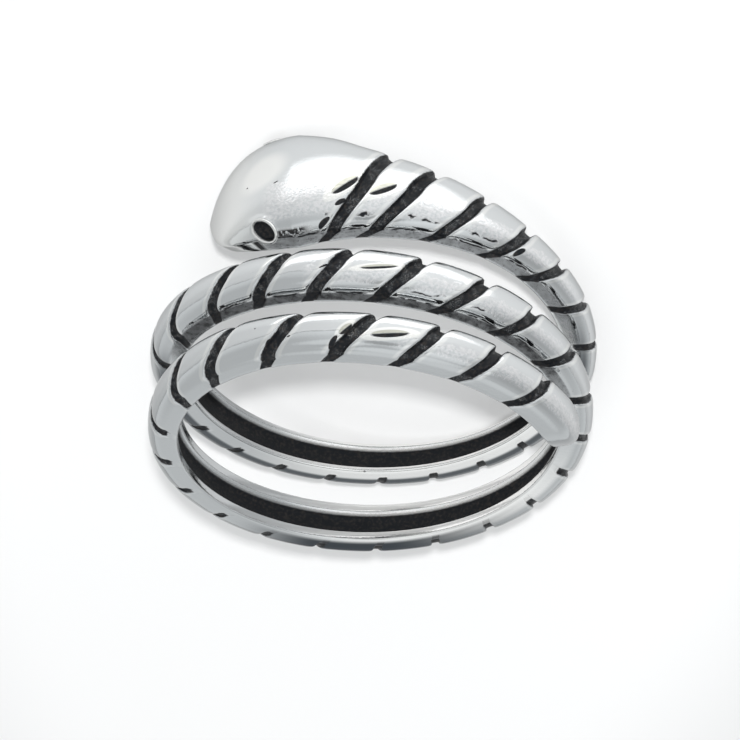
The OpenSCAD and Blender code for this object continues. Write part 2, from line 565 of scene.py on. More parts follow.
    def flank(self, sign: int, foot: float, top: float) -> list[tuple]:
        """One side of the section's outline: its rounded inner edge and its wall.

        Args:
            sign: 1 for the near side, -1 for the far one.
            foot: the share of the slant at the inner edge.
            top: the share of the slant at the top of the wall.

        Returns:
            Its points from the bore outwards, as in outline().
        """
        edge = self.edge_cut / self.shoulder_cut
        points = []
        for turn in self.edge_turns:
            c, s = math.cos(math.radians(turn)), math.sin(math.radians(turn))
            shift = (-sign * self.edge_round * (1 - s), self.edge_round * (1 - c), 0)
            cut = (0, edge * turn / 90, self.edge_cast * turn / 90)
            points.append(((sign, 0, foot), shift, cut, (0, 0, 0)))
        for share in self.wall_points:
            place = (sign, self.wall_share * share, foot + (top - foot) * share)
            shift = (0, self.edge_round * (1 - share), 0)
            points.append((place, shift, (share, edge + (1 - edge) * share, 1), (0, 0, 0)))
        return points

    def outline(self) -> dict[str, np.ndarray]:
        """The section's outline, closed, from the near inner edge over the back and home.

        Returns:
            Four vectors for each point. The first holds its place: across the band, out of the hole,
            and its share of the slant. The second holds its shift across and outwards in millimetres,
            and its share of the channel. The third holds its share of a groove's depth outwards and
            across, and how much it is side wall. The fourth marks the channel, whose places are
            shares of the channel's width.
        """
        rows = self.flank(1, 0, self.near_lean)
        # Back, with its points packed at the shoulders
        for k in range(self.back_points + 1):
            v = k / self.back_points
            first, second = self.back_pack
            v = v - first * math.sin(2 * math.pi * v) - second * math.sin(4 * math.pi * v)
            c, s = math.cos(math.pi * v), math.sin(math.pi * v)
            across = math.copysign(abs(c) ** (2 / self.back_round), c)
            out = self.wall_share + (1 - self.wall_share) * max(s, 0) ** (2 / self.back_round)
            rise = math.sin(math.pi / 2 * v**self.lean_rise)
            lean = self.near_lean + (self.far_lean - self.near_lean) * rise
            wall = max(0.0, 1 - (out - self.wall_share) / self.shoulder_cast)
            rows.append(((across, out, lean), (0, 0, 0), (1, 1, wall), (0, 0, 0)))
        rows += reversed(self.flank(-1, 1, self.far_lean))
        # Channel, a hollow between two rounded rims
        for across, depth in (*((-w, d) for w, d in self.hollow), (0, 1), *reversed(self.hollow)):
            rows.append(((across, 0, 0), (0, 0, depth), (0, 0, 0), (1, 0, 0)))
        table = np.array([*rows, rows[0]], float)
        return {name: table[:, k] for k, name in enumerate(OUTLINE_PARTS)}

    def rest(self) -> Matrix:
        """The turn and the seat with which the ring lies on the floor, in millimetres."""
        turn = Euler([math.radians(a) for a in self.rest_turn], "XYZ").to_matrix().to_4x4()
        return Matrix.Translation(Vector(self.rest_seat)) @ turn

    def sizes(self) -> dict[str, np.ndarray]:
        """The body's sizes at each step of its length.

        Returns:
            One vector of middle, half width and thickness, and one of slant, open channel and its share.
        """
        held = np.minimum(np.arange(0, self.end + 3 * self.step, self.step), self.end)
        return {
            "sizes": np.stack([self.middle(held), self.half(held), self.thick(held)], 1),
            "flow": np.stack([self.slant(held), self.open(held), self.wide(held)], 1),
        }

    @staticmethod
    def carrier(name: str, columns: dict[str, np.ndarray]) -> bpy.types.Object:
        """A mesh of loose points that carries vectors into a node tree.

        Args:
            name: the object's name.
            columns: the vectors, by attribute name.

        Returns:
            The object, which is in no collection.
        """
        mesh = bpy.data.meshes.new(name)
        mesh.vertices.add(len(next(iter(columns.values()))))
        for key, rows in columns.items():
            attribute = mesh.attributes.new(key, "FLOAT_VECTOR", "POINT")
            attribute.data.foreach_set("vector", np.ascontiguousarray(rows, dtype=np.float32).ravel())
        mesh.update()
        return bpy.data.objects.new(name, mesh)

    def lay(self, g: Graph, given: dict[str, Value]) -> tuple[Value, dict[str, Value]]:
        """Lays the outline's points round the finger.

        Args:
            g: the tree's graph.
            given: the tree's inputs by name.

        Returns:
            Each point's place, and what it carries to the metal.
        """

        def sample(source: Value, name: str, index: Value) -> Value:
            """A carried vector at an index.

            Args:
                source: the geometry that carries it.
                name: its name.
                index: which point.

            Returns:
                The vector.
            """
            kind = {"data_type": "FLOAT_VECTOR"}
            carried = g.add("GeometryNodeInputNamedAttribute", kind, {"Name": name})
            values = {"Geometry": source, "Value": carried, "Index": index}
            return g.add("GeometryNodeSampleIndex", {**kind, "domain": "POINT"}, values)

        def at(angle: Value, name: str) -> list[Value]:
            """Three sizes between their two nearest steps.

            Args:
                angle: the angle from the snout.
                name: the name of the vector that holds them.

            Returns:
                The three sizes.
            """
            step = angle / given["Step"]
            whole = step.floor()
            low, high = (sample(sizes, name, index) for index in (whole, whole + 1))
            values = {0: step - whole, 4: low, 5: high}
            return g.split(g.add("ShaderNodeMix", {"data_type": "VECTOR"}, values, 1))

        sizes, outline = (
            g.add("GeometryNodeObjectInfo", None, {"Object": given[name]}, "Geometry")
            for name in ("Sizes", "Outline")
        )
        index = g.add("GeometryNodeInputIndex")
        section = ((index + 0.5) / given["Points"]).floor()
        point = index - section * given["Points"]
        turn, depth, front = g.split(sample(given["Stops"], "stop", section))
        place, shift, cuts, troughs = (g.split(sample(outline, name, point)) for name in OUTLINE_PARTS)
        across, out, share = place
        shift_across, shift_out, channel = shift
        cut_out, cut_across, wall = cuts
        trough = troughs[0]
        cut = depth * cut_across
        depth = depth * (1 - out.smooth(*self.fade_span) * (1 - front) * given["Wall Fade"])

        # The channel's points spread over its own width, and each leans by where it lands
        lean, _, wide = at(turn, "flow")
        across = across * (1 + trough * (wide - 1))
        share = share + trough * ((1 - across) / 2 - share)
        angle = turn + lean * share
        middle, half, thick = at(angle, "sizes")
        inside = channel * at(angle, "flow")[1]
        room = (half / self.full_half).least(1)
        inset = depth * cut_across * given["Shoulder Cut"]
        height = middle + across * (half - inset) + shift_across * room
        reach = out * thick + shift_out * room - depth * cut_out * given["Groove Depth"] * out
        reach = reach + inside * given["Channel Depth"] * room
        dent = g.noise(g.vector(turn * self.hand_turn, height, given["Seed"]), self.hand_scale, 0.0)
        reach = reach - dent * given["Hand Finish"] * out * (1 - depth)
        radians = angle * (math.pi / 180)
        radius = given["Bore Radius"] + reach
        spot = g.vector(radius * radians.cos(), radius * radians.sin() * -1, height)
        marks = (depth * cut_across, wall, inside, angle, front, across, out, cut)
        return spot, dict(zip(MARKED, marks))

    def tree(self, eyes: "Eyes") -> tuple[bpy.types.NodeTree, dict[str, str]]:
        """Builds the tree that lays the outline round the finger and sinks the eyes in it.

        Args:
            eyes: the eyes.

        Returns:
            The tree, and the identifier of each of its inputs by name.
        """
        tree = bpy.data.node_groups.new("Snake body", "GeometryNodeTree")
        names = {}
        for kind, group in INPUTS.items():
            for name in group:
                socket = tree.interface.new_socket(name, in_out="INPUT", socket_type=f"NodeSocket{kind}")
                names[name] = socket.identifier
        tree.interface.new_socket("Body", in_out="OUTPUT", socket_type="NodeSocketGeometry")
        g = Graph(tree)
        given = {value.socket.name: value for value in g.outputs("NodeGroupInput")}
        spot, marks = self.lay(g, given)
        for side in Side:
            spot = eyes.sink(g, given, side, spot)

        size = {"Vertices X": given["Sections"], "Vertices Y": given["Points"]}
        grid = g.add("GeometryNodeMeshGrid", None, size)
        body = g.add("GeometryNodeSetPosition", None, {"Geometry": grid, "Position": spot})
        for name, value in marks.items():
            settings = {"data_type": "FLOAT", "domain": "POINT"}
            values = {"Geometry": body, "Name": name, "Value": value}
            body = g.add("GeometryNodeStoreNamedAttribute", settings, values)
        steps = (
            ("MergeByDistance", {"Distance": self.merge}),
            ("Transform", {"Translation": given["Rest Seat"], "Rotation": given["Rest Turn"]}),
            ("Transform", {"Scale": (MM, MM, MM)}),
            ("SetShadeSmooth", {}),
            ("RealizeInstances", {}),
            ("SetMaterial", {"Material": given["Material"]}),
        )
        for kind, values in steps:
            body = g.add(f"GeometryNode{kind}", None, {"Geometry": body, **values})
        g.add("NodeGroupOutput", None, {0: body})
        return tree, names

    def build(self, metal: bpy.types.Material, eyes: "Eyes") -> bpy.types.Object:
        """Makes the body.

        Args:
            metal: its material.
            eyes: the eyes, whose sockets are sunk in the head.

        Returns:
            The finished piece.
        """
        stops, outline = self.stops(), self.outline()
        base = self.carrier("stops", {"stop": stops})
        bpy.context.scene.collection.objects.link(base)
        tree, names = self.tree(eyes)
        modifier = base.modifiers.new("Snake body", "NODES")
        modifier.node_group = tree
        values = {
            "Sizes": self.carrier("sizes", self.sizes()),
            "Outline": self.carrier("outline", outline),
            "Sections": len(stops),
            "Points": len(outline["place"]),
            "Step": self.step,
            "Bore Radius": self.bore_radius,
            "Groove Depth": self.groove_depth,
            "Shoulder Cut": self.shoulder_cut,
            "Channel Depth": self.channel_depth,
            "Wall Fade": self.wall_fade,
            "Hand Finish": self.hand_finish,
            "Eye Length": eyes.length / 2,
            "Eye Height": eyes.height / 2,
            "Eye Depth": eyes.depth,
            "Rest Turn": Euler([math.radians(a) for a in self.rest_turn], "XYZ"),
            "Rest Seat": self.rest_seat,
            "Seed": float(self.seed),
            "Material": metal,
        }
        for side in Side:
            parts = zip(("Centre", "Up", "Along", "Out"), eyes.frame(side))
            values |= {f"{side.name.title()} {part}": way for part, way in parts}
        for name, value in values.items():
            modifier[names[name]] = value
        depsgraph = bpy.context.evaluated_depsgraph_get()
        mesh = bpy.data.meshes.new_from_object(
            base.evaluated_get(depsgraph), preserve_all_data_layers=True, depsgraph=depsgraph
        )
        mesh.name = "ring_body"
        base.modifiers.clear()
        bpy.data.objects.remove(base)
        log.info("body: %d sections, %d points, %d faces", len(stops), values["Points"], len(mesh.polygons))
        return put("ring_body", mesh)


@dataclass
class Eyes:
    """The two eyes: an oval socket each, with a thin raised rim."""

    body: Body
    length: float = 1.2
    height: float = 0.8
    depth: float = 0.3
    # Where a socket's hole, its flat boss and its blackening end and are full, in shares of its half size
    hole: tuple = (1.06, 0.8)
    boss: tuple = (1.55, 1.2)
    black: tuple = (1.12, 1.0)
    # The same along the way out of the socket, squared, so that they stay on their own side of the head
    reach: tuple = (1.4, 1.0)
    # The rim: its radius, how far out it lies in shares of that, and how its path is dropped and smoothed
    rim: float = 0.075
    rim_offset: float = 1.3
    rim_steps: int = 64
    rim_sides: int = 12
    rim_passes: int = 3
    rim_drop: float = 1.5
    # Where the eyes sit along the head, and how they are turned
    turn: float = 26.5
    toe: float = 14.0
    slope: float = 36.0
    # Distance from the head's middle, out of the finger hole, and tilt of the face
    seats: tuple = ((2.55, 1.22, 44.0), (2.78, 0.6, 8.0))

    def frame(self, side: Side) -> tuple[Vector, Vector, Vector, Vector]:
        """Where an eye sits, before the ring is laid down.

        Args:
            side: which side of the head.

        Returns:
            Its centre, and the ways up the socket, along the head and out of the socket.
        """
        offset, out, tilt = self.seats[list(Side).index(side)]
        spin = Matrix.Rotation(math.radians(-self.turn), 3, "Z")
        face = Euler((math.radians(-self.toe), math.radians(tilt), 0), "XYZ").to_matrix()
        face = face @ Matrix.Rotation(math.radians(-self.slope), 3, "Z")
        mirror = Matrix.Diagonal((1, 1, side.value))
        middle = float(self.body.middle(self.turn))
        centre = spin @ Vector((self.body.bore_radius + out, 0, middle + side.value * offset))
        return centre, *(spin @ (mirror @ (face @ Vector(v))) for v in ((1, 0, 0), (0, 1, 0), (0, 0, 1)))

    def sink(self, g: Graph, given: dict[str, Value], side: Side, spot: Value) -> Value:
        """Sinks an eye's socket in the head, the near one in a flat boss.

        Args:
            g: the body tree's graph.
            given: the tree's inputs by name.
            side: which side of the head.
            spot: a point's place.

        Returns:
            The place after it.
        """
        name = side.name.title()
        out = given[f"{name} Out"]
        local = g.vmath("SUBTRACT", spot, given[f"{name} Centre"])
        x = g.dot(local, given[f"{name} Up"]) / given["Eye Height"]
        y = g.dot(local, given[f"{name} Along"]) / given["Eye Length"]
        z = g.dot(local, out)
        ring = (x * x + y * y).root()
        close = (z * z).smooth(*self.reach)
        flat = ring.smooth(*self.boss) * close * (z * -1) if side is Side.NEAR else 0.0
        move = flat - ring.smooth(*self.hole) * close * given["Eye Depth"]
        return g.vmath("ADD", spot, g.vmath("MULTIPLY", out, g.vector(move, move, move)))

    def rims(self, metal: bpy.types.Material, body: bpy.types.Object) -> list[bpy.types.Object]:
        """Makes the two rims, lying on the head.

        Args:
            metal: their material.
            body: the finished body.

        Returns:
            The two pieces.
        """
        made = []
        depsgraph = bpy.context.evaluated_depsgraph_get()
        rest = self.body.rest()
        grow = self.rim * self.rim_offset
        for side in Side:
            centre, up, along, outwards = self.frame(side)
            way = (rest.to_3x3() @ outwards).normalized()
            path = []
            for k in range(self.rim_steps):
                a = 2 * math.pi * k / self.rim_steps
                spot = centre + up * (self.height / 2 + grow) * math.cos(a)
                spot = spot + along * (self.length / 2 + grow) * math.sin(a)
                start = rest @ (spot + outwards * self.rim_drop)
                hit, place, _, _ = body.ray_cast(start * MM, -way, depsgraph=depsgraph)
                path.append(place if hit else (rest @ spot) * MM)
            made.append(self.bead(f"eye_rim_{side.name.lower()}", self.even(path), metal))
        return made

    def even(self, path: list[Vector]) -> list[Vector]:
        """Smooths a closed path a little.

        Args:
            path: its points.

        Returns:
            The smoothed points.
        """
        points = np.array(path)
        for _ in range(self.rim_passes):
            points = (np.roll(points, 1, 0) + 2 * points + np.roll(points, -1, 0)) / 4
        return [Vector(p) for p in points]

    def bead(self, name: str, path: list[Vector], metal: bpy.types.Material) -> bpy.types.Object:
        """Makes a round bead along a closed path.

        Args:
            name: the piece's name.
            path: the points it follows, in metres.
            metal: its material.

        Returns:
            The piece.
        """
        count, sides = len(path), self.rim_sides
        centre = sum(path, Vector()) / count
        verts, faces = [], []
        for i, point in enumerate(path):
            forward = (path[(i + 1) % count] - path[i - 1]).normalized()
            side = (point - centre).normalized()
            side = (side - forward * side.dot(forward)).normalized()
            up = forward.cross(side)
            for j in range(sides):
                a = 2 * math.pi * j / sides
                verts.append(point + (side * math.cos(a) + up * math.sin(a)) * self.rim * MM)
                low, high, k = i * sides, (i + 1) % count * sides, (j + 1) % sides
                faces.append((low + j, low + k, high + k, high + j))
        mesh = bpy.data.meshes.new(name)
        mesh.from_pydata(verts, [], faces)
        mesh.validate()
        mesh.materials.append(metal)
        plain = dict.fromkeys(MARKED, 0.0) | {"turn": self.turn, "front": 1.0, "rise": 1.0}
        for mark, value in plain.items():
            attribute = mesh.attributes.new(mark, "FLOAT", "POINT")
            attribute.data.foreach_set("value", [value] * len(mesh.vertices))
        mesh.shade_smooth()
        log.info("%s: %d faces", name, len(mesh.polygons))
        return put(name, mesh)


# Where no comment says otherwise, a pair of numbers in a finish is where a look starts and where it
# is full. Four are where it starts, where it is full, where it fades and where it ends. What is named
# turn is in degrees from the snout, and what is named rise goes from 0 at the inner edge to 1 on the
# crest.


@dataclass(frozen=True)
class PolishedSilver:
    """The bright metal of the back, the rims and the last turn."""

    colour: tuple = (0.6, 0.615, 0.622, 1)
    mottled_sheen: tuple = (0.72, 0.715, 0.72, 1)
    painted_highlight: tuple = (0.8, 0.8, 0.78, 1)
    cream_reflection: tuple = (0.5, 0.5, 0.44, 1)
    painted_gleam: tuple = (0.96, 0.955, 0.94, 1)
    painted_dark: tuple = (0.07, 0.08, 0.09, 1)
    edge: tuple = (0.6, 0.6, 0.6, 1)
    specular: float = 0.2
    roughness: float = 0.05
    haze: float = 0.16
    ripple: float = 0.01
    grain: float = 0.03
    # Mottled patches on the near half of the pads: hazier polish, painted paler as a reflection
    mottled_turns: tuple = (
        (26.0, 29.0, 113.0, 125.0),
        (398.0, 401.0, 468.0, 480.0),
        (783.0, 786.0, 853.0, 865.0),
    )
    mottled_across: tuple = (0.12, 0.2)
    mottled_rise: tuple = (0.8, 0.86)
    mottled_sway: float = 0.9
    mottled_cloud: tuple = (0.36, 0.62)
    mottled_share: float = 0.8
    # A painted highlight along the lip of each groove, by the groove's depth, and one on the snout
    lip_cut: tuple = (0.006, 0.02, 0.04, 0.07)
    lip_share: float = 0.5
    snout_turn: tuple = (30.0, 14.0)
    snout_share: float = 0.6
    # At the back a painted highlight gleams on the foot of the near walls, and above it painted shade and
    # painted dark reflection darken them towards the crest
    back_rise: tuple = (0.9, 0.6)
    gleam_rise: tuple = (0.6, 0.3)
    gleam_first: tuple = (285.0, 240.0)
    gleam_second: tuple = (505.0, 545.0, 590.0, 630.0)
    painted_dark_rise: tuple = (-0.06, 0.24)
    painted_dark_turn: tuple = (535.0, 592.0, 612.0, 642.0)
    shade_rise: tuple = (0.38, 0.5)
    shade_turn: tuple = (350.0, 320.0)
    shade_share: float = 0.9
    # Pits: cells per millimetre, the distance from a cell's point, which cells have one, and its dirt
    pit_scale: float = 1.1
    pit_edge: tuple = (0.065, 0.03)
    pit_chance: tuple = (0.3, 0.28)
    pit_dirt: float = 0.8


@dataclass(frozen=True)
class BlackOxide:
    """The blackening left in grooves, sockets and the channel."""

    colour: tuple = (0.0065, 0.0075, 0.009, 1)
    brown: tuple = (0.02, 0.018, 0.017, 1)
    brown_span: tuple = (0.45, 0.7)
    roughness: float = 0.42
    dulling: float = 0.9
    cut: tuple = (0.07, 0.26)
    # Shares of the broad and the fine noise in its worn edge, and the groove depths that have it
    worn: tuple = (0.2, 0.3)
    worn_cut: tuple = (0.0, 0.25)
    glints: float = 0.22
    glint_grain: tuple = (0.5, 0.66)
    glint_blotch: tuple = (0.46, 0.6)
    channel: tuple = (0.06, 0.62)
    channel_sway: float = 0.16
    # Notches at the back, where the grooves end on the near wall
    notch_cut: tuple = (0.12, 0.26)
    notch_rise: tuple = (0.06, 0.16)
    notch_turn: tuple = (525.0, 585.0, 605.0, 650.0)
    notch_share: float = 0.75


@dataclass(frozen=True)
class CastGrey:
    """The unpolished, pitted and stained metal of the side walls in front."""

    colour: tuple = (0.42, 0.43, 0.44, 1)
    dark: tuple = (0.02, 0.02, 0.021, 1)
    roughness: float = 0.28
    wall: tuple = (0.3, 0.8)
    # Where the cast walls start behind the snout, darken on the second turn, and end
    start: tuple = (21.0, 30.0)
    darken: tuple = (300.0, 345.0)
    darken_share: float = 0.55
    stop: tuple = (680.0, 600.0)
    # Shares of blotches, fine noise and grain in the stain and in the pits
    stain_mix: tuple = (0.45, 0.25, 0.3)
    stain: tuple = (0.46, 0.6)
    pit_mix: tuple = (0.0, 0.4, 0.6)
    pits: tuple = (0.46, 0.38)
    # How strong the stain is on the first turn, and how much it gains on the second
    stain_shares: tuple = (0.25, 0.6)
    # Wavy dark lines along the near shoulder, above and below a bright one: painted dark reflections, each
    # on a shallow crease
    near_side: tuple = (0.3, 0.6)
    line_sway: float = 0.32
    upper_rise: tuple = (0.78, 0.8, 0.82, 0.85)
    upper_blotch: tuple = (0.4, 0.5)
    upper_turns: tuple = ((42.0, 44.0, 90.0, 98.0), (426.0, 428.0, 454.0, 462.0))
    lower_rise: tuple = (0.46, 0.49, 0.54, 0.57)
    lower_blotch: tuple = (0.36, 0.46)
    lower_gap: tuple = (100.0, 118.0, 350.0, 370.0)
    lower_stop: tuple = (478.0, 462.0)
    # A dark strip and a crescent on the cheek
    strip_turn: tuple = (29.5, 31.0, 37.0, 41.0)
    strip_rise: tuple = (0.5, 0.56, 0.66, 0.74)
    strip_fine: tuple = (0.36, 0.5)
    crescent_turn: tuple = (20.6, 21.4, 22.6, 24.0)
    crescent_wall: tuple = (0.2, 0.6)


@dataclass(frozen=True)
class Relief:
    """How far small marks stand out of the metal or into it, in millimetres."""

    line: float = 0.04
    pit: float = 0.06
    grain: float = 0.04
    speck: float = 0.03
    spot: float = 0.03
    strength: float = 0.4


class Look(Enum):
    """What a mark on the polish looks like: each is painted light, a lens-shaped reflection, a dark
    reflection or a pale highlight.
    """

    GLASSY = 1
    BLACK = 2
    PALE = 3


@dataclass(frozen=True)
class Mark:
    """A long oval mark of painted reflection or highlight: its angle from the snout, its share of the half
    width, its size and its lean.
    """

    turn: float
    across: float
    length: float
    width: float
    lean: float
    look: Look


PAINTED_MARKS = (
    # Lens-shaped dark reflections painted on the polish, with a painted highlight round them and a cream
    # top
    Mark(48.6, 0.2, 0.8, 0.27, -43, Look.GLASSY),
    Mark(58.2, 0.2, 0.74, 0.25, -30, Look.GLASSY),
    Mark(418.4, 0.1, 0.9, 0.13, -10, Look.GLASSY),
    Mark(782.2, 0.28, 0.9, 0.2, -10, Look.GLASSY),
    Mark(771.2, 0.2, 0.4, 0.18, -45, Look.GLASSY),
    # Dark reflections painted on the polish, each slightly dented
    Mark(47.6, 0.58, 0.3, 0.12, -34, Look.BLACK),
    Mark(43.3, 0.91, 0.36, 0.12, -30, Look.BLACK),
    Mark(97.4, 0.74, 0.34, 0.13, -40, Look.BLACK),
    Mark(404.4, 0.15, 0.26, 0.05, -30, Look.BLACK),
    Mark(750.7, 0.66, 0.3, 0.13, -52, Look.BLACK),
    Mark(768.0, 0.74, 0.34, 0.12, -48, Look.BLACK),
    Mark(756.6, 0.46, 0.09, 0.04, -20, Look.BLACK),
    Mark(30.6, 0.1, 0.14, 0.03, -20, Look.BLACK),
    # A pale highlight painted on the head
    Mark(26.0, -0.16, 1.4, 0.9, -25, Look.PALE),
    Mark(21.4, 0.04, 0.05, 0.04, 0, Look.BLACK),
)


class Skin:
    """What the metal reads at a point: the marks that the mesh carries, and noise."""

    # Patches per millimetre, finer layers and their strength, from the broadest noise to the finest
    layers: tuple = ((0.9, 3.0, 0.55), (2.2, 2.0, 0.5), (7.0, 3.0, 0.55), (24.0, 3.0, 0.7))
    plain_cut: tuple = (0.0, 0.02)

    def __init__(self, g: Graph, cast: CastGrey) -> None:
        """Reads the marks and adds the noise.

        Args:
            g: the material's graph.
            cast: the finish of the walls in front.
        """
        self.g = g
        metres = g.add("ShaderNodeTexCoord", None, None, "Object")
        self.place = g.vmath("MULTIPLY", metres, (1 / MM, 1 / MM, 1 / MM))
        marks = [g.add("ShaderNodeAttribute", {"attribute_name": name}, None, "Fac") for name in MARKED]
        self.groove, self.wall, self.inside, self.turn = marks[:4]
        self.front, self.across, self.rise, self.cut = marks[4:]
        noise = (g.noise(self.place, *layer) for layer in self.layers)
        self.broad, self.blotch, self.fine, self.grain = noise
        self.plain = 1 - self.groove.smooth(*self.plain_cut)
        self.near_side = self.across.smooth(*cast.near_side)
        self.zone = self.front * self.turn.smooth(*cast.start) * self.turn.smooth(*cast.stop)
        self.second = self.turn.smooth(*cast.darken)
        self.cast = self.wall.smooth(*cast.wall) * self.zone

    def mixed(self, blotch: float, fine: float, grain: float) -> Value:
        """The noise of three layers, by their shares."""
        return self.blotch * blotch + self.fine * fine + self.grain * grain


@dataclass(frozen=True)
class RingMetal:
    """The ring's one metal, in its three finishes."""

    silver: PolishedSilver = field(default_factory=PolishedSilver)
    oxide: BlackOxide = field(default_factory=BlackOxide)
    cast: CastGrey = field(default_factory=CastGrey)
    relief: Relief = field(default_factory=Relief)
    outer_radius: float = 10.3
    # Rise above which the long marks lie, and their edges in shares of their half size. The marks are
    # painted reflections, and their halos and the pale mark are painted highlights
    outside: tuple = (0.2, 0.42)
    mark_edge: tuple = (1.05, 0.85)
    mark_lower: tuple = (-0.25, 0.05)
    mark_halo: tuple = (1.7, 1.45)
    pale_edge: tuple = (1.25, 0.6)
    pale_share: float = 0.75

    def make(self, eyes: Eyes) -> bpy.types.Material:
        """Builds the material.

        Args:
            eyes: the eyes, whose sockets are blackened.

        Returns:
            The material.
        """
        material = bpy.data.materials.new("blackened_silver")
        g = graph_of(material)
        s = Skin(g, self.cast)
        lines = self.lines(s)
        # The long marks are painted light: dark reflections, highlights round them and cream reflections
        spots, halo, shine = self.marks(s, eyes.body)
        # This black also carries the painted dark reflections, the wavy lines and the dark parts of the
        # long marks, so they take the oxide's colour
        black = self.blackening(s, eyes).most(lines).most(spots)
        pits, specks, dirt = self.dirt(s)
        patch = self.mottling(s)

        walls = g.blend(s.second * self.cast.darken_share, self.cast.colour, self.cast.dark)
        metal = g.blend(s.cast, self.polish(s, patch, halo, shine), walls)
        metal = g.blend(dirt, metal, self.cast.dark)
        oxide = g.blend(s.fine.smooth(*self.oxide.brown_span), self.oxide.colour, self.oxide.brown)
        smooth = self.silver.roughness + patch * self.silver.haze
        rough = smooth + s.cast.most(specks) * (self.cast.roughness - smooth)
        r = self.relief
        relief = (s.fine - 0.5) * (self.silver.ripple + patch * self.silver.grain) * (1 - s.cast)
        relief = relief - lines * r.line - pits * r.pit + (s.grain - 0.5) * (black + s.cast) * r.grain
        relief = relief - specks * r.speck - spots * r.spot
        bumps = {"Strength": r.strength, "Distance": MM, "Height": relief}
        values = {
            "Base Color": g.blend(black, metal, oxide),
            "Roughness": rough + black * (self.oxide.roughness - rough),
            "Metallic": 1 - black * self.oxide.dulling,
            "Normal": g.add("ShaderNodeBump", None, bumps, "Normal"),
            "Specular IOR Level": self.silver.specular,
            "Specular Tint": self.silver.edge,
        }
        shader = g.add("ShaderNodeBsdfPrincipled", None, values)
        g.add("ShaderNodeOutputMaterial", None, {"Surface": shader})
        return material

    def lines(self, s: Skin) -> Value:
        """The wavy dark lines along the near shoulder, which are painted dark reflections, and the dark
        strip and crescent on the cheek.

        Args:
            s: what the metal reads.

        Returns:
            How black they are.
        """
        c = self.cast
        wavy = s.rise + (s.broad - 0.5) * c.line_sway
        shown = sum(s.turn.band(*span) for span in c.upper_turns)
        upper = wavy.band(*c.upper_rise) * s.blotch.smooth(*c.upper_blotch) * shown
        lower = wavy.band(*c.lower_rise).least(s.blotch.smooth(*c.lower_blotch))
        lower = lower * (1 - s.turn.band(*c.lower_gap)) * s.turn.smooth(*c.lower_stop)
        strip = s.turn.band(*c.strip_turn) * s.rise.band(*c.strip_rise) * s.fine.smooth(*c.strip_fine)
        crescent = s.turn.band(*c.crescent_turn) * s.wall.smooth(*c.crescent_wall)
        return (upper.most(lower) * s.zone).most(strip.most(crescent)) * s.plain * s.near_side

    def blackening(self, s: Skin, eyes: Eyes) -> Value:
        """Where the grooves, the channel, the sockets and the notches at the back are black.

        Args:
            s: what the metal reads.
            eyes: the eyes.

        Returns:
            How black they are.
        """
        o = self.oxide
        worn = (s.broad - 0.5) * o.worn[0] + (s.fine - 0.5) * o.worn[1]
        grooves = (s.groove + worn * s.groove.smooth(*o.worn_cut)).smooth(*o.cut)
        notches = s.cut.smooth(*o.notch_cut) * s.rise.smooth(*o.notch_rise) * s.near_side * (1 - s.front)
        notches = notches * s.turn.band(*o.notch_turn) * o.notch_share
        glints = s.grain.smooth(*o.glint_grain) * s.blotch.smooth(*o.glint_blotch) * o.glints
        channel = (s.inside + (s.fine - 0.5) * o.channel_sway).smooth(*o.channel)
        return (grooves.most(notches) * (1 - glints)).most(channel).most(self.sockets(s, eyes))

    def dirt(self, s: Skin) -> tuple[Value, Value, Value]:
        """Stain and pits in the cast walls, and a few pits in the polish.

        Args:
            s: what the metal reads.

        Returns:
            The pits in the walls, those in the polish, and how dark all of it is.
        """
        c, p = self.cast, self.silver
        stain = s.mixed(*c.stain_mix).smooth(*c.stain) * s.cast
        stain = stain * (c.stain_shares[0] + s.second * c.stain_shares[1])
        pits = s.mixed(*c.pit_mix).smooth(*c.pits) * s.cast
        near, tint, *_ = s.g.outputs("ShaderNodeTexVoronoi", {"Vector": s.place, "Scale": p.pit_scale})
        specks = near.smooth(*p.pit_edge) * s.g.split(tint)[0].smooth(*p.pit_chance)
        return pits, specks, pits.most(stain).most(specks * p.pit_dirt)

    def mottling(self, s: Skin) -> Value:
        """Where the near half of the pads is mottled: hazier polish, painted paler as a reflection.

        Args:
            s: what the metal reads.

        Returns:
            How mottled it is.
        """
        p = self.silver
        patch = (s.across + (s.broad - 0.5) * p.mottled_sway).smooth(*p.mottled_across)
        spans = sum(s.turn.band(*span) for span in p.mottled_turns)
        return patch * s.rise.smooth(*p.mottled_rise) * s.plain * spans * (1 - s.cast)

    def polish(self, s: Skin, patch: Value, halo: Value, shine: Value) -> Value:
        """The polished silver's colour.

        Args:
            s: what the metal reads.
            patch: how mottled it is.
            halo: the bright lines round the long marks, a painted highlight.
            shine: the long marks' bright parts, a painted cream reflection.

        Returns:
            The colour.
        """
        p = self.silver
        # Painted highlight: a paler tint along the groove lips, and in the last layer on the snout
        painted_highlight = s.groove.band(*p.lip_cut) * (1 - s.wall) * p.lip_share
        back = (1 - s.front) * s.rise.smooth(*p.back_rise)
        # Painted highlight on the foot of the back walls, then painted shade and dark reflection towards
        # their crest
        painted_gleam = s.turn.smooth(*p.gleam_first) + s.turn.band(*p.gleam_second)
        shade = s.rise.smooth(*p.shade_rise) * s.turn.smooth(*p.shade_turn) * p.shade_share
        painted_dark = s.rise.smooth(*p.painted_dark_rise) * s.turn.band(*p.painted_dark_turn)
        layers = (
            # The mottled patches' paler tint is a painted reflection
            (patch * s.fine.smooth(*p.mottled_cloud) * p.mottled_share, p.mottled_sheen),
            (painted_highlight.most(halo), p.painted_highlight),
            # Cream tops of the lens marks: a painted reflection
            (shine, p.cream_reflection),
            (back * s.rise.smooth(*p.gleam_rise) * painted_gleam, p.painted_gleam),
            (painted_dark.most(shade) * back * s.near_side, p.painted_dark),
            (s.turn.smooth(*p.snout_turn) * p.snout_share, p.painted_highlight),
        )
        colour: Any = p.colour
        for share, tint in layers:
            colour = s.g.blend(share, colour, tint)
        return colour

